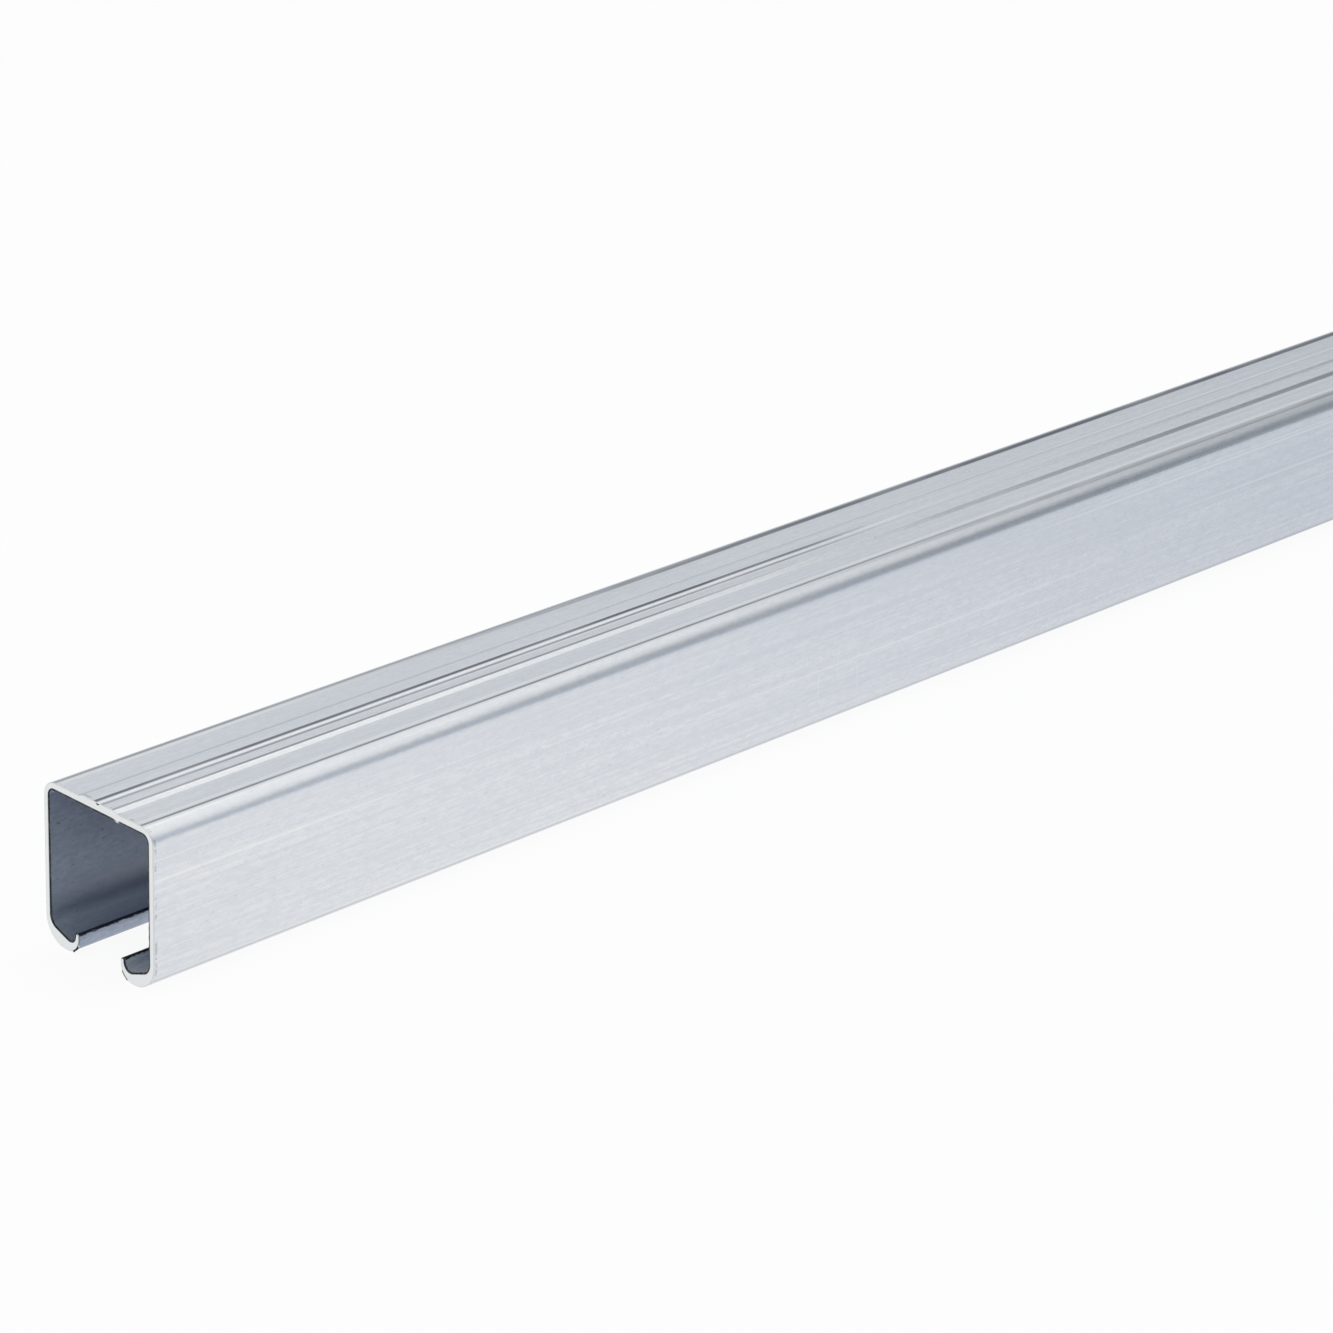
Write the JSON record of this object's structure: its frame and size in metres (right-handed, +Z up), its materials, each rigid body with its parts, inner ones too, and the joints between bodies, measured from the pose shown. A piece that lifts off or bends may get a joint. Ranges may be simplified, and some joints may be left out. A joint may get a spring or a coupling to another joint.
{
  "type": "sliding door track profile",
  "caption": "Straight length of mill-finish aluminium box track, slotted underneath, with upturned inner lips for a trolley and a scribed drilling pad on top.",
  "frame": {"origin": "middle of the length, on the centre line of the section, on the level that the lips stand on", "axes": "+X along the stock, +Y across it, +Z up from the slot to the drilling pad"},
  "size_m": [1, 0.033, 0.0355],
  "materials": {
    "mill_finish_aluminium": "as extruded, with fine die lines along the length and saw-cut ends"
  },
  "bodies": {
    "root": {"track_profile": "mill_finish_aluminium"}
  },
  "joints": []
}
